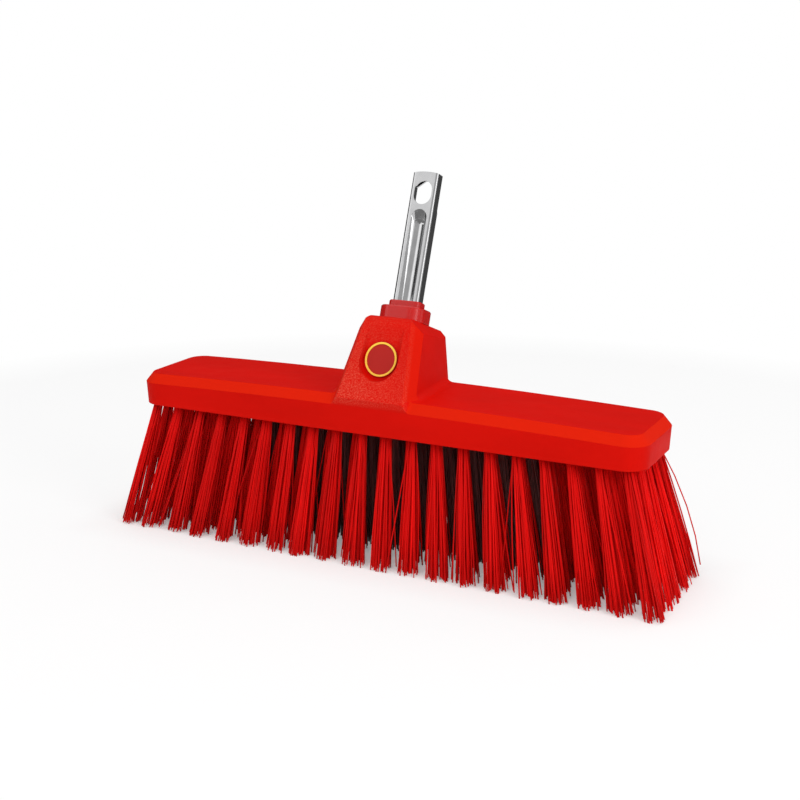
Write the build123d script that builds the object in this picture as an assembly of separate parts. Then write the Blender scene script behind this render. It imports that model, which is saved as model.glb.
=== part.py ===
from build123d import *

import os
from math import atan2, cos, degrees, radians, sin, tan

# Push broom head: a moulded block with a neck, a steel tang and rows of tufts.
# X runs along the block, +Y to the back, +Z up. All sizes are in mm and degrees.
# The pieces are drawn from the block's underside, and stood on the bristle tips at the end.

# ---- Block ----
block_length = 400.0
block_depth = 78.2        # at the lower edge of the chamfered rim
block_corner = 17.0
rim_height_end = 15.9     # upright wall below the rim, at the ends
crown = 3.5               # the top rises by this from the ends to the middle
rim_drop = 6.7            # rim's leg down the wall
rim_run = 5.9             # rim's leg over the top
wall_draft = 3.2          # the walls widen towards the rim
underside = -0.4

# ---- Neck ----
neck_half_width = 32.6    # of the side faces, carried down to z = 0 at y = 0
neck_side_rise = 0.105    # narrower by this per mm of height
neck_side_back = 0.070    # and by this per mm towards the back
neck_front_lean = 31.0
neck_front_base = 25.0    # height where the leaning front leaves the upright wall
neck_rim_x = 6.0          # chamfered front corners, across
neck_rim_y = 9.5          # and backwards
neck_shoulder = 8.3       # chamfered top corners
neck_shoulder_flare = 0.04            # smaller by this per mm towards the back
neck_root_fillet = 6.0
neck_brow_fillet = 5.0    # front and back edges of the neck's top
neck_rear_x = 2.4         # chamfered back corners, across
neck_rear_y = 9.0         # and forwards

# ---- Tang axis: it leaves the collar's top here, leaning backwards ----
axis_y, axis_z = 22.4, 86.0
tang_lean = 20.85
neck_top = -16.0          # along the axis from there

# ---- Collar: across, deep, corner radius of its two steps ----
collar_ring = (35.0, 27.0, 10.0)
collar_seat = (25.6, 12.8, 4.0)
collar_ring_top = -5.8
collar_seat_top = -0.8
plug_bottom = -56.0
collar_edge = 0.8         # chamfer

# ---- Tang ----
tang_width = 21.0
tang_tip_width = 20.2     # above the groove's end
tang_depth = 8.0
tang_gauge = 1.5
tang_corner = 2.4
tang_bottom = -52.0
tang_top = 95.4
tang_top_bow = 1.0
groove_half_width = 6.2
groove_top = 67.4
groove_depth = 3.4
groove_taper = 35.0
groove_wall = 1.2         # metal left behind the groove
tang_shoulder = 66.4      # the sides step in from here up
tang_shoulder_run = 2.0   # over this height
hole_width = 14.0
hole_height = 17.5
hole_centre = 79.8
lip_peak = 91.2           # the end lips meet in a pointed notch at the back
lip_foot = 83.4

# ---- Badge ----
badge_y, badge_z = -19.98, 51.02      # centre of its face
badge_radius = 12.8
badge_proud = 1.0         # above the recess's floor
badge_sunk = 1.4
badge_edge = 0.3
ring_radius = 11.7
ring_width = 1.4
ring_proud = 0.5
ring_sunk = 0.6
recess_radius = 14.0      # at the floor
recess_draft = 14.0
recess_drop = 1.4         # the recess reaches this much further down than it does sideways
recess_reach = 60.0       # past the neck's top, where the recess is open

# ---- Tufts ----
bristle_length = 97.0
row_names = ("front", "second", "middle", "fourth", "back")
row_pitch = 15.0
row_tufts = (20, 19, 19, 19, 20)      # every row is evenly spread over the same length
last_tuft_x = 187.15
zone_names = ("left", "centre", "right")
end_tufts = (5, 4, 4, 4, 5)           # of each row, in its left zone and in its right one
end_lean = 15.0           # of the last tufts, outwards
row_lean = 7.5            # of the front and back rows, outwards
strands_per_tuft = 4
strand_sides = 3
strand_radius = 1.05      # of its corners
strand_root = 1.0         # strands start this deep in the slices
root_spread = 2.1         # radius of a tuft's strands at the block
tip_spread = 6.0          # and at the tips
spread_step = 0.1         # strands vary by turns in spread, and tufts in how they are turned
turn_step = 25.0
turns = 3
slice_width = 9.0
slice_depth = 4.0
anchor_size = (6.6, 0.4, 2.2)

# ---- Allowances for cutting forms and for picking edges ----
overrun = 5.0             # cutting forms reach this far past what they cut
slack = 1.0               # an edge is looked for within this of its place

half_length = block_length / 2
half_depth = block_depth / 2
rim_height_mid = rim_height_end + crown
draft_slope = tan(radians(wall_draft))
last_row_y = 2 * row_pitch

# The tang's frame: local Z runs up the tang, local Y towards its open back.
lean_y, lean_z = sin(radians(tang_lean)), cos(radians(tang_lean))
tang_frame = Plane(origin=(0, axis_y, axis_z), x_dir=(1, 0, 0), z_dir=(0, lean_y, lean_z))
# The badge's frame: local Z looks out of the recess, local Y up it.
badge_frame = Plane(origin=(0, badge_y, badge_z), x_dir=(1, 0, 0), z_dir=(0, -lean_z, lean_y))


def keep_inside(solid, point, outward):
    """Cuts away what lies beyond a plane."""
    return split(solid, bisect_by=Plane(origin=point, z_dir=outward), keep=Keep.BOTTOM)


def keep_between(solid, point, outward):
    """Cuts away what lies beyond a plane and beyond its mirror image in X."""
    solid = keep_inside(solid, point, outward)
    return keep_inside(solid, (-point[0], point[1], point[2]), (-outward[0], outward[1], outward[2]))


# ---------------------------------------------------------------- block
def block_prism(height):
    """The block's plan outline drawn up with the draft of its walls."""
    inset = (rim_height_mid - underside) * draft_slope
    plan = RectangleRounded(block_length - 2 * inset, block_depth - 2 * inset, block_corner - inset)
    return extrude(Pos(0, 0, underside) * plan, height, taper=-wall_draft)


def wings():
    """The long body: a crowned top with a chamfered rim all the way round."""
    end_top = rim_height_end + rim_drop
    reach = half_length + overrun
    crown_arc = ThreePointArc((-reach, end_top), (0, end_top + crown), (reach, end_top))
    box = Polyline((reach, end_top), (reach, -reach), (-reach, -reach), (-reach, end_top))
    body = block_prism(2 * end_top) & extrude(Plane.XZ * make_face(crown_arc + box), block_depth, both=True)
    top = body.faces().sort_by(Axis.Z)[-1]
    return chamfer(top.edges(), length=rim_run, length2=rim_drop, reference=top)


def neck_half_at(y, z):
    """Half the neck's width between its plain side faces."""
    return neck_half_width - neck_side_rise * z - neck_side_back * y


def neck():
    """The raised neck: leaning front, upright back, and a top square to the tang."""
    body = block_prism(2 * axis_z)
    body = keep_between(body, (neck_half_width, 0, 0), (1, neck_side_back, neck_side_rise))
    front_y = -half_depth - (neck_front_base - rim_height_mid) * draft_slope
    lean = radians(neck_front_lean)
    body = keep_inside(body, (0, front_y, neck_front_base), (0, -cos(lean), sin(lean)))
    top_y, top_z = axis_y + neck_top * lean_y, axis_z + neck_top * lean_z
    body = keep_inside(body, (0, top_y, top_z), (0, lean_y, lean_z))

    # The chamfered front corners follow the edges of the leaning front.
    def front_corner(z):
        y = front_y + (z - neck_front_base) * tan(lean)
        return Vector(neck_half_at(y + neck_rim_y, z) - neck_rim_x, y, z)

    foot, head = front_corner(neck_front_base), front_corner(top_z)
    outward = Vector(neck_rim_x, neck_rim_y, 0).cross(head - foot)
    body = keep_between(body, tuple(foot), tuple(outward))

    # The back corners are chamfered likewise.
    def rear_corner(z):
        y = half_depth + (z - rim_height_mid) * draft_slope
        return Vector(neck_half_at(y - neck_rear_y, z) - neck_rear_x, y, z)

    foot, head = rear_corner(neck_front_base), rear_corner(top_z)
    outward = (head - foot).cross(Vector(neck_rear_x, -neck_rear_y, 0))
    body = keep_between(body, tuple(foot), tuple(outward))

    shoulder_x = neck_half_at(0, top_z) - neck_shoulder
    body = keep_between(body, (shoulder_x, top_y, top_z),
                        (1, lean_y - neck_shoulder_flare * lean_z, lean_z + neck_shoulder_flare * lean_y))

    brows = body.edges().filter_by(Axis.X).filter_by(lambda edge: edge.center().Z > top_z - neck_shoulder)
    return fillet(brows, neck_brow_fillet)


def broom_block():
    """Wings and neck in one moulding, with everything that is let into it."""
    body = wings() + neck()

    wing_top = rim_height_mid + rim_drop

    # Concave edges where the neck grows out of the rim and top of the wings.
    def at_root(edge):
        least = neck_half_at(half_depth, wing_top) - neck_rear_x - slack
        ends = (edge.position_at(0), edge.position_at(1))
        return abs(edge.center().X) > slack and edge.center().Y > -half_depth and all(
            least < abs(end.X) < neck_half_width + 2 * slack and
            rim_height_mid - slack < end.Z < wing_top + slack for end in ends)

    body = fillet(body.edges().filter_by(at_root), neck_root_fillet)
    body -= badge_recess()
    body -= badge_frame * Pos(0, 0, -badge_proud - badge_sunk) * Cylinder(
        badge_radius, badge_sunk, align=(Align.CENTER, Align.CENTER, Align.MIN))
    body -= plug()
    for row in range(len(row_names)):
        body -= row_groove(row)
    return body - anchors()


def badge_recess():
    """U-shaped recess with drafted walls, open at the neck's top."""
    plan = Circle(recess_radius) + Pos(0, recess_reach / 2) * Rectangle(2 * recess_radius, recess_reach)
    floor = badge_frame * Pos(0, -recess_drop, -badge_proud)
    return extrude(floor * plan, recess_reach / 2, taper=-recess_draft)


def row_groove(row):
    """Groove in the underside that holds one row's backing."""
    length = 2 * last_tuft_x + slice_width
    return Pos(0, row_y(row), underside) * extrude(SlotOverall(length, slice_width), slice_depth)


# ---------------------------------------------------------------- badge
def badge_ring():
    """Raised ring, let into the face of the disc."""
    band = Circle(ring_radius + ring_width / 2) - Circle(ring_radius - ring_width / 2)
    return extrude(badge_frame * Pos(0, 0, -ring_sunk) * band, ring_sunk + ring_proud)


def badge_disc():
    thickness = badge_proud + badge_sunk
    disc = Pos(0, 0, -thickness) * Cylinder(
        badge_radius, thickness, align=(Align.CENTER, Align.CENTER, Align.MIN))
    face_edge = disc.edges().filter_by(GeomType.CIRCLE).sort_by(Axis.Z)[-1]
    return badge_frame * chamfer(face_edge, badge_edge) - badge_ring()


# ---------------------------------------------------------------- collar and tang
def step(size, low, high):
    """One rounded-oblong step of the collar, between two heights on the axis."""
    return Pos(0, 0, low) * extrude(RectangleRounded(*size), high - low)


def plug():
    """The stem that the neck's socket takes."""
    return tang_frame * step(collar_seat, plug_bottom, neck_top)


def neck_collar():
    """Ring, seat and plug in one moulding round the tang."""
    ring = step(collar_ring, neck_top, collar_ring_top)
    ring = chamfer(ring.faces().sort_by(Axis.Z)[-1].edges(), collar_edge)
    seat = step(collar_seat, collar_ring_top, collar_seat_top)
    seat = chamfer(seat.faces().sort_by(Axis.Z)[-1].edges(), collar_edge)
    body = tang_frame * (ring + seat + step(collar_seat, plug_bottom, neck_top))
    return body - tang()


def groove_form(grow, low):
    """Pressed groove from the height low upwards, or with grow the metal behind it."""
    half = groove_half_width + grow
    stem = Pos(0, (groove_top - groove_half_width + low) / 2) * Rectangle(
        2 * half, groove_top - groove_half_width - low)
    outline = stem + Pos(0, groove_top - groove_half_width) * Circle(half)
    front = Plane(origin=(0, -tang_depth / 2, 0), x_dir=(-1, 0, 0), z_dir=(0, 1, 0))
    return extrude(front * outline, groove_depth + grow, taper=groove_taper)


def tang():
    """Channel pressed from sheet: front web with groove and hole, two flanges, end lips."""
    length = tang_top - tang_bottom
    section = Pos(0, 0, tang_bottom) * Rectangle(tang_width, tang_depth)
    outside = extrude(section, length)
    front_corners = outside.edges().filter_by(Axis.Z).group_by(Axis.Y)[0]
    outside = fillet(front_corners, tang_corner)
    hollow_width = tang_tip_width - 2 * tang_gauge
    hollow = Pos(0, tang_gauge, tang_bottom) * extrude(Rectangle(hollow_width, tang_depth), length)
    body = outside - hollow

    # Front outline: the sides step in past the groove, and the top end is bowed.
    half, tip_half = tang_width / 2, tang_tip_width / 2
    bow_foot, step_top = tang_top - tang_top_bow, tang_shoulder + tang_shoulder_run
    sides = Polyline((tip_half, bow_foot), (tip_half, step_top), (half, tang_shoulder),
                     (half, tang_bottom), (-half, tang_bottom), (-half, tang_shoulder),
                     (-tip_half, step_top), (-tip_half, bow_foot))
    bow = ThreePointArc((-tip_half, bow_foot), (0, tang_top), (tip_half, bow_foot))
    outline = extrude(Plane.XZ * make_face(sides + bow), tang_depth, both=True)

    lips = Polyline((-tip_half, tang_top), (-tip_half, lip_foot), (0, lip_peak), (tip_half, lip_foot),
                    (tip_half, tang_top), close=True)
    back = Plane(origin=(0, tang_depth / 2 - tang_gauge, 0), x_dir=(-1, 0, 0), z_dir=(0, 1, 0))
    body += extrude(back * make_face(lips), tang_gauge)
    body += groove_form(groove_wall, tang_bottom)
    body -= groove_form(0, tang_bottom - overrun)
    hole = SlotOverall(hole_height, hole_width, rotation=90)
    body -= extrude(Plane.XZ * Pos(0, hole_centre) * hole, tang_depth)
    return tang_frame * (body & outline)


# ---------------------------------------------------------------- tufts
def row_y(row):
    return (row - (len(row_names) - 1) / 2) * row_pitch


def tuft_pitch(row):
    return 2 * last_tuft_x / (row_tufts[row] - 1)


def tuft_x(tuft, row):
    return (tuft - (row_tufts[row] - 1) / 2) * tuft_pitch(row)


def zone_tufts(row, zone):
    """Numbers of the row's tufts that stand in the zone."""
    count, ends = row_tufts[row], end_tufts[row]
    spans = {"left": (0, ends), "centre": (ends, count - ends), "right": (count - ends, count)}
    return range(*spans[zone])


def tuft_strands(tuft, row):
    """Strands that fan out of one tuft, with their tips cut level.

    A tuft on the left is the mirror image of the one across on the right, and one in the
    middle, which isn't varied, is its own.
    """
    x, y = tuft_x(tuft, row), row_y(row)
    side = 1 if x > 0 else -1
    varied = 0 if x == 0 else 1
    from_end = min(tuft, row_tufts[row] - 1 - tuft)
    drift_x = bristle_length * tan(radians(end_lean * x / last_tuft_x))
    drift_y = bristle_length * tan(radians(row_lean * y / last_row_y))
    found = []
    for number in range(strands_per_tuft):
        turn = radians(360 * (number + 0.5) / strands_per_tuft
                       + varied * turn_step * ((from_end + row) % turns - 1))
        spread = tip_spread * (1 - varied * spread_step * ((number + from_end + 2 * row) % turns))
        across, back = side * cos(turn), sin(turn)
        root = Vector(x + root_spread * across, y + root_spread * back, underside + strand_root)
        run = Vector(drift_x + (spread - root_spread) * across,
                     drift_y + (spread - root_spread) * back, -bristle_length - strand_root)
        facing = Rot(Z=degrees(atan2(back, across)))
        section = Pos(*root) * facing * RegularPolygon(strand_radius, strand_sides)
        found.append(extrude(section, run.length, dir=run.normalized()))
    return found


def backing_slice(row, zone):
    """The zone's stretch of the row's groove, filled."""
    span, half_gap = zone_tufts(row, zone), tuft_pitch(row) / 2
    low, high = tuft_x(span[0], row) - half_gap, tuft_x(span[-1], row) + half_gap
    window = Pos((low + high) / 2, row_y(row), underside) * Box(
        high - low, slice_width, slice_depth, align=(Align.CENTER, Align.CENTER, Align.MIN))
    return row_groove(row) & window


def tuft_zone(row, zone):
    """One zone of a row: its tufts, fused to the slice of block that holds them."""
    strands = [strand for tuft in zone_tufts(row, zone) for strand in tuft_strands(tuft, row)]
    return backing_slice(row, zone).fuse(*strands)


def anchors():
    """One flat staple over each tuft, just above the slices."""
    plate = Box(*anchor_size, align=(Align.CENTER, Align.CENTER, Align.MIN))
    return [Pos(tuft_x(tuft, row), row_y(row), underside + slice_depth) * plate
            for row in range(len(row_names)) for tuft in range(row_tufts[row])]


pieces = {
    "broom_block": broom_block(),
    "neck_collar": neck_collar(),
    "tang": tang(),
    "badge_disc": badge_disc(),
    "badge_ring": badge_ring(),
    "tuft_anchors": Compound(anchors()),
}
for row_number, row_name in enumerate(row_names):
    for zone_name in zone_names:
        pieces[f"tufts_{row_name}_{zone_name}"] = tuft_zone(row_number, zone_name)

# The part stands on its tips at z = 0, with its whole width and depth centred on the origin.
extent = Compound(list(pieces.values())).bounding_box()
stand = Pos(-extent.center().X, -extent.center().Y, -extent.min.Z)

os.makedirs("parts", exist_ok=True)
for name, piece in pieces.items():
    export_step(stand * piece, f"parts/{name}.step")
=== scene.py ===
import random
from math import cos, pi, radians, sin, tan, tau

import bmesh
import bpy
from mathutils import Matrix, Vector


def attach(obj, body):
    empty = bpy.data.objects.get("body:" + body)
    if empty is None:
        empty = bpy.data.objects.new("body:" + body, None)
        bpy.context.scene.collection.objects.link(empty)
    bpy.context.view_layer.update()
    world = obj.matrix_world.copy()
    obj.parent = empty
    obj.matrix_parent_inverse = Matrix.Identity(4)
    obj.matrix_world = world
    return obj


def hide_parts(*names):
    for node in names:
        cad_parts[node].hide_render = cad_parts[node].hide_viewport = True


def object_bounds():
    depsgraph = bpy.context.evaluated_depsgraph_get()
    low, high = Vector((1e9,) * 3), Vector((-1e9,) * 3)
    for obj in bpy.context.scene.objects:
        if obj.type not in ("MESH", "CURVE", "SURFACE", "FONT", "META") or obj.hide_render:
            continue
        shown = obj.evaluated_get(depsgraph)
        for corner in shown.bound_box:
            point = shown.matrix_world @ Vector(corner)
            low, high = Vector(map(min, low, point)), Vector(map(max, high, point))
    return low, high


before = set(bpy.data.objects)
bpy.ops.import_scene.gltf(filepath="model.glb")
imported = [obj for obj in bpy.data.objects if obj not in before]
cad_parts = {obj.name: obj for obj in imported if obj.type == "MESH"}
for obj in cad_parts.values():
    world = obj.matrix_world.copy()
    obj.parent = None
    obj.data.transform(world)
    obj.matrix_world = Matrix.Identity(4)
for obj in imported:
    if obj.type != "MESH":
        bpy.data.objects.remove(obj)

cad_low, cad_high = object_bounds()
scene = bpy.context.scene
mm = 0.001

# ------------------------------------------------------------------ sizes, in metres
# copies of the CAD's own meshes
weld_distance = 0.002 * mm
smooth_up_to = radians(28)            # a larger angle between two faces stays sharp

# the block, its rims and its neck
block_underside = 97.0 * mm
block_centre_y = -5.345 * mm          # the rows of tufts are centred here
rim_slope = radians(39)               # the rims look up by this much
rim_slack = 0.06                      # in the height of a rim's normal
rim_top = 124.0 * mm
neck_front_lean = radians(31)         # the neck's front looks up by this much
neck_front_foot = Vector((0, -44.762, 122.4)) * mm
neck_front_normal = Vector((0, -cos(neck_front_lean), sin(neck_front_lean)))
neck_front_level = neck_front_normal.dot(neck_front_foot)
neck_front_slack = 0.5 * mm           # a face whose corners lie under this, added up, is the front
neck_corner_side = (0.4, 0.85)        # the neck's front corners look sideways by this much
neck_corner_front = 0.3               # and forwards by more than this
neck_foot = 125.0 * mm                # under this, what lies behind the front is the neck's foot
recess_half = 15.5 * mm               # half of the badge recess's width
recess_top = 181.0 * mm
recess_deepest = 5.0 * mm             # behind the neck's front

# the tang and its pressed groove
tang_lean = radians(20.85)
tang_foot = Vector((0, 17.055, 183.4)) * mm         # the middle of the tang at the collar
tang_front = -4.0 * mm                # its front face, measured from there towards its back
groove_half = 6.2 * mm                # half of the groove's width, at the tang's front
groove_depth = 3.4 * mm
groove_wall = radians(35)             # its walls lean out by this
groove_round = 61.2 * mm              # its round end is centred this far up the tang
groove_ramp = 57.0 * mm               # and its floor ramps up from here
groove_fold = 0.42 * mm               # the floor is this much deeper in its middle
fold_soft = 0.6 * mm                  # and shaded round this far to each side of it
floor_slack = 0.03 * mm               # for telling the floor's vertices
wall_slack = 0.05 * mm                # for telling those of the walls

# the rows of tufts, and the zones that each row is cut into
row_names = ("front", "second", "middle", "fourth", "back")
last_row = len(row_names) - 1
row_pitch = 15.0 * mm
row_tufts = (20, 19, 19, 19, 20)      # every row is evenly spread over the same length
last_tuft_x = 187.15 * mm
zone_names = ("left", "centre", "right")
end_tufts = (5, 4, 4, 4, 5)           # of each row, in its left zone and in its right one
black_rows = ("middle", "fourth")     # their centre zones are black
slice_width = 9.0 * mm                # of the strip of block that closes a row's groove
slice_height = 4.0 * mm
slice_slack = 0.02 * mm               # that its round ends leave in the middle

# the strands of a tuft
strands_per_tuft = 54
strand_half = 0.36 * mm
strand_corner = 1.414 * strand_half   # from a strand's middle to its corners
strand_rings = 5
root_inside = 1.0 * mm                # strands start this far up in the block
tuft_root_radius = 3.3 * mm
tuft_tip_radius = 7.6 * mm
end_lean = radians(15.0)              # outwards, of the last tufts
row_lean = radians(7.5)               # outwards, of the front and back rows
lean_spread_x = 0.9                   # degrees either way, of a whole tuft
lean_spread_y = 0.7
swing_spread = 0.35                   # radians, of a tip about its tuft
tip_spread = 0.8 * mm
tip_lift = 4.0 * mm                   # tips end between the floor and this height
tip_lift_power = 1.6                  # most of them near the floor
bow_out, bow_out_spread, bow_side_spread = 0.25 * mm, 0.5 * mm, 0.35 * mm
stray_share = 0.09                    # strands that end outside their tuft
stray_radius = 11.0 * mm
wild_share = 0.025                    # strands that cross over to a neighbouring tuft
wild_reach = (7, 15)                  # millimetres sideways

# one bent strand hangs out at the right end
loose_root = Vector((189.5, 25.0, 98.0)) * mm
loose_tip = Vector((218.8, 43.0, 8.0)) * mm
loose_bow = Vector((5.0, 0.0, 0.0)) * mm
loose_tone = 0.4

# ------------------------------------------------------------------ colours and tones
moulded_red = (0.62, 0.0052, 0.0022)
# painted highlight: the rims and the neck's front corners are painted lighter where they catch the light
rim_painted_highlight = (0.67, 0.0140, 0.0028)
# painted shade: the hollow round the badge and the foot under the neck's front are painted darker
recess_painted_shade = (0.54, 0.0042, 0.0018)
# partly the neck front's real grain, partly painted sheen of light lying on it
grain_and_sheen_pale = (0.72, 0.145, 0.085)
collar_colour = (0.52, 0.0060, 0.0045)
badge_colour = (0.42, 0.0120, 0.0080)
ring_colour = (0.93, 0.56, 0.055)
steel_dark = (0.55, 0.55, 0.555)
steel_light = (0.62, 0.62, 0.625)
strand_red = (0.86, 0.0068, 0.0058)
strand_black = (0.200, 0.0850, 0.0800)

neck_corner_highlight_share = 0.5               # of the rims' painted highlight, on the neck's front corners
neck_foot_shade_share = 0.4                 # of the badge hollow's painted shade, under the neck's front
recess_shade_fade = (142 * mm, 160 * mm)    # the painted shade fades between these heights
speckle_behind = (-3.2 * mm, -1.6 * mm)             # the speckled grain and its painted sheen come in here, behind the front
sheen_fade_across = (-22 * mm, 18 * mm)  # as painted sheen, it weakens from left to right
sheen_fade_height = (122 * mm, 170 * mm)               # and from the foot up

# a strand's tone is 0 for its darkest and 1 for its lightest
tuft_tones = (0.4, 0.6)
tone_start = -0.25
tone_spread = 0.12
sunk_painted_lighter = 0.5                    # painted fill light: the middle of a tuft gets less light, so it is painted lighter
inner_row_painted_lighter = 0.45                  # and so are the rows between the front and the back
stray_darker = 0.22


# ------------------------------------------------------------------ node helpers
def new_material(name):
    """A material with an empty tree but for its shader and output."""
    material = bpy.data.materials.new(name)
    material.use_nodes = True
    tree = material.node_tree
    tree.nodes.clear()
    shader = tree.nodes.new("ShaderNodeBsdfPrincipled")
    output = tree.nodes.new("ShaderNodeOutputMaterial")
    tree.links.new(shader.outputs["BSDF"], output.inputs["Surface"])
    return material, tree, shader


def object_place(tree, scale=(1, 1, 1), turn=(0, 0, 0)):
    """Object coordinates through a Mapping node."""
    place = tree.nodes.new("ShaderNodeTexCoord")
    mapping = tree.nodes.new("ShaderNodeMapping")
    mapping.inputs["Scale"].default_value = scale
    mapping.inputs["Rotation"].default_value = turn
    tree.links.new(place.outputs["Object"], mapping.inputs["Vector"])
    return mapping.outputs["Vector"]


def axes_of(tree, place):
    """The X, Y and Z of a place."""
    node = tree.nodes.new("ShaderNodeSeparateXYZ")
    tree.links.new(place, node.inputs["Vector"])
    return node.outputs


def noise(tree, place, scale, detail=4.0, roughness=0.55):
    """Noise of the scale, in waves per metre."""
    node = tree.nodes.new("ShaderNodeTexNoise")
    node.inputs["Scale"].default_value = scale
    node.inputs["Detail"].default_value = detail
    node.inputs["Roughness"].default_value = roughness
    tree.links.new(place, node.inputs["Vector"])
    return node.outputs["Fac"]


def spread(tree, value, low, high, from_low=0.3, from_high=0.7):
    """The value mapped to low..high; noise mostly lies in the range that it comes from."""
    node = tree.nodes.new("ShaderNodeMapRange")
    node.inputs["From Min"].default_value = from_low
    node.inputs["From Max"].default_value = from_high
    node.inputs["To Min"].default_value = low
    node.inputs["To Max"].default_value = high
    tree.links.new(value, node.inputs["Value"])
    return node.outputs["Result"]


def calculated(tree, operation, *values):
    """A Math node's result; each value is a socket or a plain number."""
    node = tree.nodes.new("ShaderNodeMath")
    node.operation = operation
    for value, socket in zip(values, node.inputs):
        if isinstance(value, bpy.types.NodeSocket):
            tree.links.new(value, socket)
        else:
            socket.default_value = value
    return node.outputs["Value"]


def blend_colours(tree, share, first, second):
    """From the first colour to the second as the share goes from 0 to 1; the first may be a socket."""
    node = tree.nodes.new("ShaderNodeMix")
    node.data_type = "RGBA"
    node.inputs["B"].default_value = (*second, 1)
    tree.links.new(share, node.inputs["Factor"])
    if isinstance(first, bpy.types.NodeSocket):
        tree.links.new(first, node.inputs["A"])
    else:
        node.inputs["A"].default_value = (*first, 1)
    return node.outputs["Result"]


def bump(tree, height, strength, distance, under=None):
    """Normals with relief of the distance, in metres, over any normals under it."""
    node = tree.nodes.new("ShaderNodeBump")
    node.inputs["Strength"].default_value = strength
    node.inputs["Distance"].default_value = distance
    tree.links.new(height, node.inputs["Height"])
    if under is not None:
        tree.links.new(under, node.inputs["Normal"])
    return node.outputs["Normal"]


def broken_edge(tree, radius):
    """Normals that round every sharp edge a little."""
    node = tree.nodes.new("ShaderNodeBevel")
    node.samples = 6
    node.inputs["Radius"].default_value = radius
    return node.outputs["Normal"]


def attribute(tree, name):
    """A number that the mesh stores."""
    node = tree.nodes.new("ShaderNodeAttribute")
    node.attribute_name = name
    return node.outputs["Fac"]


def shade(colour, factor):
    """The colour made lighter or darker."""
    return tuple(min(1.0, part * factor) for part in colour)


# ------------------------------------------------------------------ materials
def moulded_plastic(name, colour, roughness, grain, edge, gloss):
    """Satin plastic: fine grain, faint flow marks and patches of a little more polish."""
    material, tree, shader = new_material(name)
    place = object_place(tree)
    flow = noise(tree, object_place(tree, scale=(0.35, 1, 1)), scale=28, detail=5)
    tint = spread(tree, flow, 0, 1)
    tree.links.new(blend_colours(tree, tint, shade(colour, 0.93), shade(colour, 1.06)),
                   shader.inputs["Base Color"])
    polish = noise(tree, place, scale=60, detail=6)
    tree.links.new(spread(tree, polish, roughness - 0.05, roughness + 0.06),
                   shader.inputs["Roughness"])
    coarse = noise(tree, place, scale=700, detail=3)
    fine = noise(tree, place, scale=2600, detail=2)
    normal = broken_edge(tree, edge)
    normal = bump(tree, coarse, strength=0.6 * grain, distance=0.12 * mm, under=normal)
    normal = bump(tree, fine, strength=grain, distance=0.06 * mm, under=normal)
    tree.links.new(normal, shader.inputs["Normal"])
    shader.inputs["IOR"].default_value = 1.49
    shader.inputs["Specular IOR Level"].default_value = gloss
    return material


def speckle_and_sheen_share(tree, place):
    """How strong the speckled grain and its painted sheen are: on the neck's leaning front alone, and most
    low on the left.
    """
    level = tree.nodes.new("ShaderNodeVectorMath")
    level.operation = "DOT_PRODUCT"
    level.inputs[1].default_value = neck_front_normal
    tree.links.new(place, level.inputs[0])
    comes_in = [neck_front_level + offset for offset in speckle_behind]
    on_front = spread(tree, level.outputs["Value"], 0, 1, *comes_in)
    axes = axes_of(tree, place)
    across = spread(tree, axes["X"], 1.0, 0.5, *sheen_fade_across)
    height = spread(tree, axes["Z"], 1.0, 0.45, *sheen_fade_height)
    share = spread(tree, noise(tree, place, scale=1300, detail=2), 0.0, 0.62, 0.42, 0.66)
    for part in (on_front, across, height):
        share = calculated(tree, "MULTIPLY", share, part)
    return share


def paint_light_on_block(material):
    """The block's painted light over its red: a painted highlight on the rims, painted shade round the
    badge, and pale speckled grain with painted sheen.
    """
    tree = material.node_tree
    shader = next(node for node in tree.nodes if node.type == "BSDF_PRINCIPLED")
    plain = shader.inputs["Base Color"].links[0].from_socket
    place = object_place(tree)
    # painted highlight on the rims and the neck's front corners
    with_rim_highlight = blend_colours(tree, attribute(tree, "rim_highlight"), plain, rim_painted_highlight)
    fading = spread(tree, axes_of(tree, place)["Z"], 1.0, 0.15, *recess_shade_fade)
    # painted shade round the badge and under the neck's front, fading upwards
    recess_shade = calculated(tree, "MULTIPLY", attribute(tree, "recess_shade"), fading)
    with_recess_shade = blend_colours(tree, recess_shade, with_rim_highlight, recess_painted_shade)
    outside = spread(tree, recess_shade, 1, 0.3, 0, 1)
    # the grain's speckle with its painted sheen, weaker in the painted shade
    speckle_and_sheen = calculated(tree, "MULTIPLY", speckle_and_sheen_share(tree, place), outside)
    tree.links.new(blend_colours(tree, speckle_and_sheen, with_recess_shade, grain_and_sheen_pale),
                   shader.inputs["Base Color"])


def strand_plastic(name, colour, dark, light):
    """Extruded filament: each strand has its own tone, with fine lines along it."""
    material, tree, shader = new_material(name)
    tone = attribute(tree, "tone")
    tree.links.new(blend_colours(tree, tone, shade(colour, dark), shade(colour, light)),
                   shader.inputs["Base Color"])
    streak = noise(tree, object_place(tree, scale=(1, 1, 0.04)), scale=2200, detail=3)
    tree.links.new(spread(tree, streak, 0.42, 0.56), shader.inputs["Roughness"])
    tree.links.new(bump(tree, streak, strength=0.12, distance=0.06 * mm), shader.inputs["Normal"])
    shader.inputs["IOR"].default_value = 1.5
    shader.inputs["Specular IOR Level"].default_value = 0.05
    return material


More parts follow.
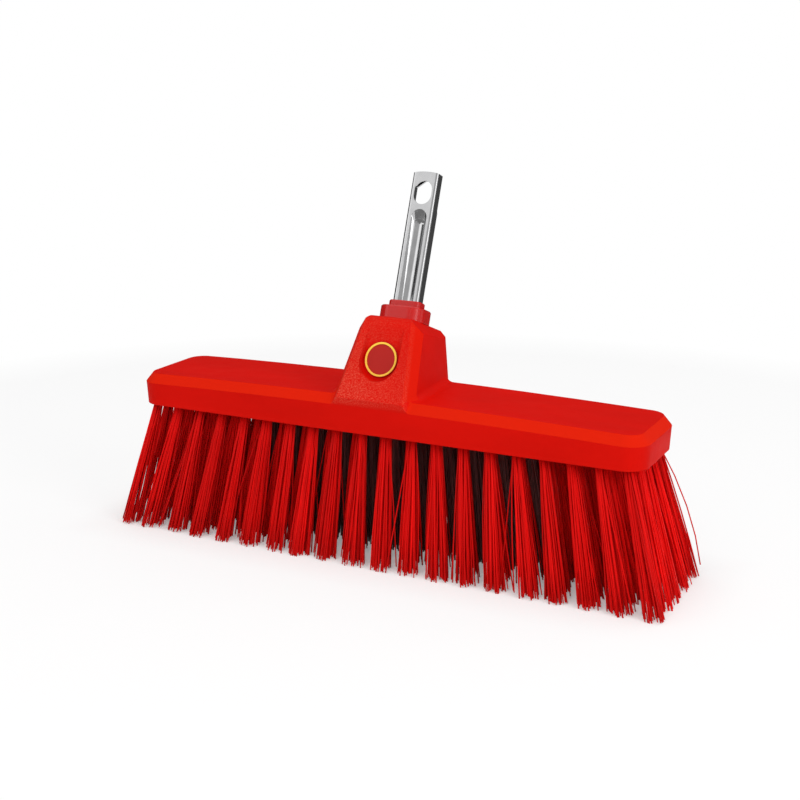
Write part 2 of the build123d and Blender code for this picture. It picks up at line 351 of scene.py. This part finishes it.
def plated_steel(name):
    """Bright plating over pressed sheet, drawn along the tang, with faint clouding."""
    material, tree, shader = new_material(name)
    along = object_place(tree, scale=(1, 1, 0.02), turn=(tang_lean, 0, 0))
    lines = noise(tree, along, scale=1800, detail=5, roughness=0.6)
    cloud = noise(tree, object_place(tree), scale=140, detail=5)
    tree.links.new(blend_colours(tree, spread(tree, cloud, 0, 1), steel_dark, steel_light),
                   shader.inputs["Base Color"])
    tree.links.new(spread(tree, cloud, 0.07, 0.14), shader.inputs["Roughness"])
    normal = broken_edge(tree, 0.2 * mm)
    normal = bump(tree, lines, strength=0.10, distance=0.05 * mm, under=normal)
    tree.links.new(normal, shader.inputs["Normal"])
    shader.inputs["Metallic"].default_value = 1.0
    return material


block_red = moulded_plastic("block_red", moulded_red, roughness=0.48, grain=0.35,
                            edge=0.7 * mm, gloss=0.02)
paint_light_on_block(block_red)
collar_red = moulded_plastic("collar_red", collar_colour, roughness=0.16, grain=0.05,
                             edge=0.4 * mm, gloss=0.5)
badge_red = moulded_plastic("badge_red", badge_colour, roughness=0.45, grain=0.30,
                            edge=0.2 * mm, gloss=0.2)
badge_yellow = moulded_plastic("badge_yellow", ring_colour, roughness=0.35, grain=0.10,
                               edge=0.2 * mm, gloss=0.3)
tang_steel = plated_steel("tang_steel")
anchor_wire = plated_steel("anchor_wire")
bristle_red = strand_plastic("bristle_red", strand_red, dark=0.66, light=1.22)
bristle_black = strand_plastic("bristle_black", strand_black, dark=0.45, light=1.4)


# ------------------------------------------------------------------ meshes and objects
def finished_mesh(bm, name, *materials):
    """The bmesh as a mesh with the materials."""
    mesh = bpy.data.meshes.new(name)
    bm.to_mesh(mesh)
    bm.free()
    for material in materials:
        mesh.materials.append(material)
    return mesh


def linked_object(name, data):
    """An object of a mesh, a lamp or a camera, in the scene."""
    made = bpy.data.objects.new(name, data)
    scene.collection.objects.link(made)
    return made


def finish_piece(bm, name, *materials):
    """The bmesh as an object that rides on the root."""
    piece = linked_object(name, finished_mesh(bm, name, *materials))
    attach(piece, "root")
    return piece


# ------------------------------------------------------------------ rigid pieces
def smooth_copy(node, name, material):
    """The CAD node's own shape with its triangles joined and its curved faces shaded smooth."""
    bm = bmesh.new()
    bm.from_mesh(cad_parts[node].data)
    bmesh.ops.remove_doubles(bm, verts=bm.verts, dist=weld_distance)
    for face in bm.faces:
        face.smooth = True
        face.material_index = 0
    piece = finish_piece(bm, name, material)
    stored = piece.data.attributes.get("custom_normal")
    if stored is not None:
        piece.data.attributes.remove(stored)
    piece.data.set_sharp_from_angle(angle=smooth_up_to)
    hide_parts(node)
    return piece


def press_groove(piece):
    """Ramps the upper end of the tang's groove and folds its floor a little, as a press leaves them."""
    back = Vector((0, cos(tang_lean), -sin(tang_lean)))
    along = Vector((0, sin(tang_lean), cos(tang_lean)))
    floor_half = groove_half - groove_depth * tan(groove_wall)
    bm = bmesh.new()
    bm.from_mesh(piece.data)

    def depth(vert):
        return (vert.co - tang_foot).dot(back) - tang_front

    def on_floor(vert):
        level = abs(depth(vert) - groove_depth) < floor_slack
        return level and abs(vert.co.x) < floor_half + floor_slack

    def floor_faces():
        return [face for face in bm.faces if all(on_floor(vert) for vert in face.verts)]

    # the floor's border stays sharp
    floor = floor_faces()
    for face in floor:
        for edge in face.edges:
            edge.smooth = all(other in floor for other in edge.link_faces)

    # the wall of the round end leans further the deeper it goes, down to a straight line on the floor
    at_floor = groove_ramp - groove_round
    for vert in bm.verts:
        radius = groove_half - depth(vert) * tan(groove_wall)
        rise = (vert.co - tang_foot).dot(along) - groove_round
        inside = wall_slack < depth(vert) < groove_depth + floor_slack and rise > -wall_slack
        if inside and abs(Vector((vert.co.x, rise)).length - radius) < 2 * wall_slack:
            at_front = groove_half * rise / radius
            ramped = at_front + (at_floor - at_front) * depth(vert) / groove_depth
            vert.co += along * (ramped - rise)
    bmesh.ops.dissolve_degenerate(bm, edges=bm.edges, dist=0.001 * mm)

    # the floor is cut lengthwise, and its middle line moves back into the metal
    for x in (-fold_soft, 0, fold_soft):
        floor = floor_faces()
        edges = dict.fromkeys(edge for face in floor for edge in face.edges)
        verts = dict.fromkeys(vert for face in floor for vert in face.verts)
        bmesh.ops.bisect_plane(bm, geom=[*floor, *edges, *verts], dist=0.01 * mm,
                               plane_co=(x, 0, 0), plane_no=(1, 0, 0))
    for vert in [vert for vert in bm.verts if on_floor(vert)]:
        vert.co += back * groove_fold * max(0, 1 - abs(vert.co.x) / floor_half)
    bm.to_mesh(piece.data)
    bm.free()


def recess_shade_share(face):
    """The share of painted shade: 1 in the hollow round the badge, less on the narrow foot under the
    leaning front, else 0.
    """
    centre = face.calc_center_median()
    behind = [neck_front_level - neck_front_normal.dot(vert.co) for vert in face.verts]
    if abs(centre.x) > recess_half or centre.z > recess_top or face.normal.y > 0:
        return 0.0
    if max(behind) > recess_deepest or sum(behind) < neck_front_slack:
        return 0.0
    return 1.0 if centre.z > neck_foot else neck_foot_shade_share


def rim_highlight_share(face):
    """The share of painted highlight: 1 on the rims, less on the neck's front corners, else 0."""
    if face.calc_center_median().z < rim_top:
        return 1.0 if abs(face.normal.z - sin(rim_slope)) < rim_slack else 0.0
    low, high = neck_corner_side
    corner = low < abs(face.normal.x) < high and face.normal.y < -neck_corner_front
    return neck_corner_highlight_share if corner and not recess_shade_share(face) else 0.0


def mark_painted_light(piece):
    """Stores where the moulding's red carries painted light, as a share of the rims' painted highlight and
    of the shade painted round the badge.
    """
    bm = bmesh.new()
    bm.from_mesh(piece.data)
    rim_highlight = bm.faces.layers.float.new("rim_highlight")
    recess_shade = bm.faces.layers.float.new("recess_shade")
    for face in bm.faces:
        face[rim_highlight] = rim_highlight_share(face)
        face[recess_shade] = recess_shade_share(face)
    bm.to_mesh(piece.data)
    bm.free()


block_moulding = smooth_copy("broom_block", "block_moulding", block_red)
mark_painted_light(block_moulding)
smooth_copy("neck_collar", "collar_moulding", collar_red)
tang_pressing = smooth_copy("tang", "tang_pressing", tang_steel)
press_groove(tang_pressing)
smooth_copy("badge_disc", "badge_plate", badge_red)
smooth_copy("badge_ring", "badge_band", badge_yellow)
smooth_copy("tuft_anchors", "anchor_plates", anchor_wire)


# ------------------------------------------------------------------ tufts
def strand_pattern():
    """One upright four-sided strand of height 1, cut into rings, with its root at 0."""
    bm = bmesh.new()
    bmesh.ops.create_cone(bm, cap_ends=True, segments=4, radius1=strand_corner, radius2=strand_corner,
                          depth=1, matrix=Matrix.Translation((0, 0, 0.5)) @ Matrix.Rotation(pi / 4, 4, "Z"))
    upright = [edge for edge in bm.edges if abs(edge.verts[0].co.z - edge.verts[1].co.z) > 0.5]
    bmesh.ops.subdivide_edges(bm, edges=upright, cuts=strand_rings - 2)
    for face in bm.faces:
        face.smooth = abs(face.normal.z) < 0.5
    return finished_mesh(bm, "strand_pattern")


def add_strand(bm, pattern, tone_layer, root, tip, bow, turn, tone):
    """Copies the pattern along the curve from root to tip, bowed sideways in between."""
    first = len(bm.verts)
    bm.from_mesh(pattern)
    bm.verts.ensure_lookup_table()
    c, s = cos(turn), sin(turn)
    for number in range(first, len(bm.verts)):
        vert = bm.verts[number]
        t = vert.co.z
        across = Vector((c * vert.co.x - s * vert.co.y, s * vert.co.x + c * vert.co.y, 0))
        vert.co = root.lerp(tip, t) + bow * (4 * t * (1 - t)) + across
        vert[tone_layer] = tone


def tuft_pitch(row):
    """From one tuft of the row to the next."""
    return 2 * last_tuft_x / (row_tufts[row] - 1)


def tuft_x(tuft, row):
    """Where the row's tuft of this number stands along the block."""
    return (tuft - (row_tufts[row] - 1) / 2) * tuft_pitch(row)


def row_y(row):
    """How far the row stands behind the middle row."""
    return (row - last_row // 2) * row_pitch


def zone_tufts(row, zone):
    """Numbers of the row's tufts that stand in the zone."""
    count, ends = row_tufts[row], end_tufts[row]
    spans = {"left": (0, ends), "centre": (ends, count - ends), "right": (count - ends, count)}
    return range(*spans[zone])


def keep_in_box(tip):
    """Moves a strand's tip back inside the CAD box."""
    margin = 1.5 * strand_half
    for axis in (0, 1):
        tip[axis] = max(cad_low[axis] + margin, min(cad_high[axis] - margin, tip[axis]))


def add_tuft(bm, pattern, tone_layer, tuft, row):
    """A tuft's strands: a bundle that splays out of its hole and ends in ragged tips."""
    rng = random.Random(1000 * row + tuft)
    x, y = tuft_x(tuft, row), row_y(row)
    lean_x, lean_y = end_lean * x / last_tuft_x, row_lean * y / row_y(last_row)
    lean_x += radians(rng.uniform(-lean_spread_x, lean_spread_x))
    lean_y += radians(rng.uniform(-lean_spread_y, lean_spread_y))
    root_z = block_underside + root_inside
    tuft_tone = rng.uniform(*tuft_tones) + tone_start
    for number in range(strands_per_tuft):
        angle = rng.uniform(0, tau)
        ratio = ((number + 0.5) / strands_per_tuft) ** 0.5
        stray = rng.random() < stray_share
        wild = rng.random() < wild_share
        root = Vector((x + tuft_root_radius * ratio * cos(angle),
                       block_centre_y + y + tuft_root_radius * ratio * sin(angle), root_z))
        reach = rng.uniform(tuft_tip_radius, stray_radius) if stray else tuft_tip_radius * ratio
        swing = angle + rng.gauss(0, swing_spread)
        tip_z = tip_lift * rng.random() ** tip_lift_power
        length = root_z - tip_z
        tip_x = x + length * lean_x + reach * cos(swing) + rng.gauss(0, tip_spread)
        tip_y = block_centre_y + y + length * lean_y + reach * sin(swing) + rng.gauss(0, tip_spread)
        tip = Vector((tip_x, tip_y, tip_z))
        if wild:
            tip.x += rng.choice((-1, 1)) * rng.uniform(*wild_reach) * mm
        keep_in_box(tip)
        out = Vector((cos(swing), sin(swing), 0))
        bow = out * rng.gauss(bow_out, bow_out_spread)
        bow += Vector((rng.gauss(0, bow_side_spread), rng.gauss(0, bow_side_spread), 0))
        # painted light: strands that get less light are painted lighter; strays and wild strands are darker
        lighter = sunk_painted_lighter * (1 - ratio) + inner_row_painted_lighter * (0 < row < last_row) \
            - stray_darker * (stray or wild)
        tone = min(1, max(0, rng.gauss(tuft_tone + lighter, tone_spread)))
        add_strand(bm, pattern, tone_layer, root, tip, bow, rng.uniform(0, pi / 2), tone)


def backing_strip(row, zone):
    """The strip of block that closes the row's groove along the zone, as a mesh."""
    bm = bmesh.new()
    span, half_gap = zone_tufts(row, zone), tuft_pitch(row) / 2
    groove_end = last_tuft_x + slice_width / 2
    low = max(tuft_x(span[0], row) - half_gap, -groove_end)
    high = min(tuft_x(span[-1], row) + half_gap, groove_end)
    made = bmesh.ops.create_cube(bm, size=1)["verts"]
    bmesh.ops.scale(bm, verts=made, vec=(high - low, slice_width, slice_height))
    bmesh.ops.translate(bm, verts=made, vec=((low + high) / 2, block_centre_y + row_y(row),
                                             block_underside + slice_height / 2))
    outer = {"left": low, "right": high}.get(zone)
    if outer is not None:
        ends = [edge for edge in bm.edges
                if all(abs(vert.co.x - outer) < 0.01 * mm for vert in edge.verts)
                and abs(edge.verts[0].co.z - edge.verts[1].co.z) > slice_height / 2]
        bmesh.ops.bevel(bm, geom=ends, offset=slice_width / 2 - slice_slack, offset_type="OFFSET",
                        segments=8, profile=0.5, affect="EDGES", clamp_overlap=True, material=-1)
    for face in bm.faces:
        face.material_index = 1
    return finished_mesh(bm, "backing_strip")


def tuft_piece(pattern, row, zone):
    """The row's tufts in the zone, with the strip of block over them."""
    strip = backing_strip(row, zone)
    bm = bmesh.new()
    bm.from_mesh(strip)
    bpy.data.meshes.remove(strip)
    tone_layer = bm.verts.layers.float.new("tone")
    for tuft in zone_tufts(row, zone):
        add_tuft(bm, pattern, tone_layer, tuft, row)
    if (row_names[row], zone) == ("back", "right"):
        add_strand(bm, pattern, tone_layer, loose_root, loose_tip, loose_bow, 0, loose_tone)
    black = zone == "centre" and row_names[row] in black_rows
    piece = finish_piece(bm, f"bristles_{row_names[row]}_{zone}",
                         bristle_black if black else bristle_red, block_red)
    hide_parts(f"tufts_{row_names[row]}_{zone}")


upright_strand = strand_pattern()
for row_number in range(len(row_names)):
    for zone_name in zone_names:
        tuft_piece(upright_strand, row_number, zone_name)
bpy.data.meshes.remove(upright_strand)


# ------------------------------------------------------------------ floor, light and camera
floor_white = (0.25, 0.70)            # share of plain white in the floor, under and round the part
floor_white_edge = (-0.010, 0.035)    # it changes over this, measured from the part's box outwards
floor_shadow_reach = 0.38             # from here outwards the floor fades to plain white
backdrop_light = 0.55                 # its strength as light
backdrop_seen = 1.0                   # and as it is seen: plain white

# name, place, turn about Z in degrees, width, height and brightness
cards = (
    ("card_behind", (0.10, 0.45, 0.35), 0, 1.60, 0.70, 0.08),
    ("card_left", (-0.70, 0.05, 0.25), 90, 0.90, 0.50, 0.06),
    ("card_front", (0.13, -1.32, 0.80), 10, 1.50, 1.20, 0.52),
    ("card_left_front", (-0.98, -1.02, 0.75), -43, 0.40, 0.80, 1.40),
    ("card_right_front", (1.30, -0.68, 0.75), 62, 0.35, 0.90, 2.60),
    ("card_low", (-0.65, -1.28, 0.26), -25, 1.70, 0.48, 0.24),
    ("card_right", (0.90, -0.02, 0.45), 90, 0.60, 0.50, 0.52),
)

# name, place, aim, size and power in watts
lamps = (
    ("overhead", (0.1, -0.5, 1.9), (0, 0, 0.10), (1.6, 1.2), 12.0),
    ("key", (0.2, -1.7, 1.5), (0, 0, 0.12), (1.2, 0.9), 5.5),
    ("front_left", (-1.6, -1.6, 1.2), (0, 0, 0.12), (1.0, 1.2), 2.0),
    ("right", (1.8, -0.7, 1.0), (0, 0, 0.12), (1.0, 1.0), 13.0),
    ("behind_right", (1.2, 1.0, 1.4), (0, 0, 0.12), (1.0, 1.0), 2.0),
)


def seen_directly(tree):
    """1 for what the camera, a reflection or a clear part sees, and 0 for light."""
    rays = tree.nodes.new("ShaderNodeLightPath")
    found = rays.outputs["Is Camera Ray"]
    for other in ("Is Glossy Ray", "Is Transmission Ray"):
        found = calculated(tree, "MAXIMUM", found, rays.outputs[other])
    return found


def outside_part(tree):
    """How far a place on the floor lies outside the part's box."""
    axes = axes_of(tree, object_place(tree))
    beyond = [calculated(tree, "SUBTRACT", calculated(tree, "ABSOLUTE", axes[name]), reach)
              for name, reach in (("X", cad_high.x), ("Y", cad_high.y))]
    return calculated(tree, "MAXIMUM", *beyond)


def mixed(tree, share, first, second):
    """The first shader, with the second's share in it."""
    mix = tree.nodes.new("ShaderNodeMixShader")
    tree.links.new(share, mix.inputs["Fac"])
    tree.links.new(first, mix.inputs[1])
    tree.links.new(second, mix.inputs[2])
    return mix.outputs["Shader"]


def make_floor():
    """A pale floor with the part's shadow, seen partly as plain white, and wholly so further out."""
    bm = bmesh.new()
    bmesh.ops.create_grid(bm, x_segments=1, y_segments=1, size=60)
    material, tree, shader = new_material("pale_floor")
    shader.inputs["Base Color"].default_value = (0.95, 0.95, 0.95, 1)
    shader.inputs["Roughness"].default_value = 0.9
    shader.inputs["Specular IOR Level"].default_value = 0.1
    white = tree.nodes.new("ShaderNodeEmission")
    white.inputs["Color"].default_value = (1, 1, 1, 1)
    white.inputs["Strength"].default_value = 1.0
    distance = tree.nodes.new("ShaderNodeVectorMath")
    distance.operation = "LENGTH"
    tree.links.new(object_place(tree), distance.inputs[0])
    far = spread(tree, distance.outputs["Value"], 0, 1, floor_shadow_reach, 2 * floor_shadow_reach)
    near = spread(tree, outside_part(tree), *floor_white, *floor_white_edge)
    share = calculated(tree, "MULTIPLY", seen_directly(tree), calculated(tree, "MAXIMUM", near, far))
    output = next(node for node in tree.nodes if node.type == "OUTPUT_MATERIAL")
    tree.links.new(mixed(tree, share, shader.outputs["BSDF"], white.outputs["Emission"]),
                   output.inputs["Surface"])
    floor = linked_object("floor", finished_mesh(bm, "floor", material))


def make_world():
    """A backdrop that is seen as plain white and lights the part less than that."""
    world = bpy.data.worlds.new("studio")
    scene.world = world
    world.use_nodes = True
    tree = world.node_tree
    tree.nodes.clear()
    backdrops = []
    for strength in (backdrop_light, backdrop_seen):
        backdrop = tree.nodes.new("ShaderNodeBackground")
        backdrop.inputs["Color"].default_value = (1, 1, 1, 1)
        backdrop.inputs["Strength"].default_value = strength
        backdrops.append(backdrop.outputs["Background"])
    output = tree.nodes.new("ShaderNodeOutputWorld")
    tree.links.new(mixed(tree, seen_directly(tree), *backdrops), output.inputs["Surface"])


def soft_lamp(name, place, aim, size, power):
    """A rectangular lamp that reflections don't see: they have the cards."""
    light = bpy.data.lights.new(name, "AREA")
    light.shape = "RECTANGLE"
    light.size, light.size_y = size
    light.energy = power
    lamp = linked_object(name, light)
    lamp.location = place
    lamp.rotation_mode = "QUATERNION"
    lamp.rotation_quaternion = (Vector(aim) - Vector(place)).to_track_quat("-Z", "Y")
    lamp.visible_glossy = False


def reflection_card(name, place, turn, width, height, brightness):
    """An upright card of a grey tone that only reflections see, for bright metal to show."""
    bm = bmesh.new()
    bmesh.ops.create_grid(bm, x_segments=1, y_segments=1, size=0.5)
    bmesh.ops.scale(bm, verts=bm.verts, vec=(width, height, 1))
    bmesh.ops.rotate(bm, verts=bm.verts, matrix=Matrix.Rotation(radians(turn), 3, "Z")
                     @ Matrix.Rotation(pi / 2, 3, "X"))
    bmesh.ops.translate(bm, verts=bm.verts, vec=place)
    material, _, shader = new_material(name)
    shader.inputs["Base Color"].default_value = (0, 0, 0, 1)
    shader.inputs["Specular IOR Level"].default_value = 0
    shader.inputs["Emission Color"].default_value = (1, 1, 1, 1)
    shader.inputs["Emission Strength"].default_value = brightness
    card = linked_object(name, finished_mesh(bm, name, material))
    card.visible_camera = card.visible_diffuse = False
    card.visible_shadow = card.visible_transmission = False


def place_camera():
    """The camera of the photograph, as fitted together with the part's sizes."""
    optics = bpy.data.cameras.new("camera")
    optics.sensor_fit = "HORIZONTAL"
    optics.sensor_width = 36
    optics.lens = 63.25
    optics.clip_start, optics.clip_end = 0.05, 200
    camera = linked_object("camera", optics)
    camera.location = (0.44709, -0.884985, 0.37724)
    back = Vector((0.4338, -0.8633, 0.2578))
    right = Vector((0.8935, 0.4490, 0.0))
    up = back.cross(right)
    camera.rotation_mode = "QUATERNION"
    camera.rotation_quaternion = Matrix((right, up, back)).transposed().to_quaternion()
    scene.camera = camera


make_floor()
make_world()
for card_values in cards:
    reflection_card(*card_values)
for lamp_values in lamps:
    soft_lamp(*lamp_values)
place_camera()

scene.view_settings.view_transform = "Standard"
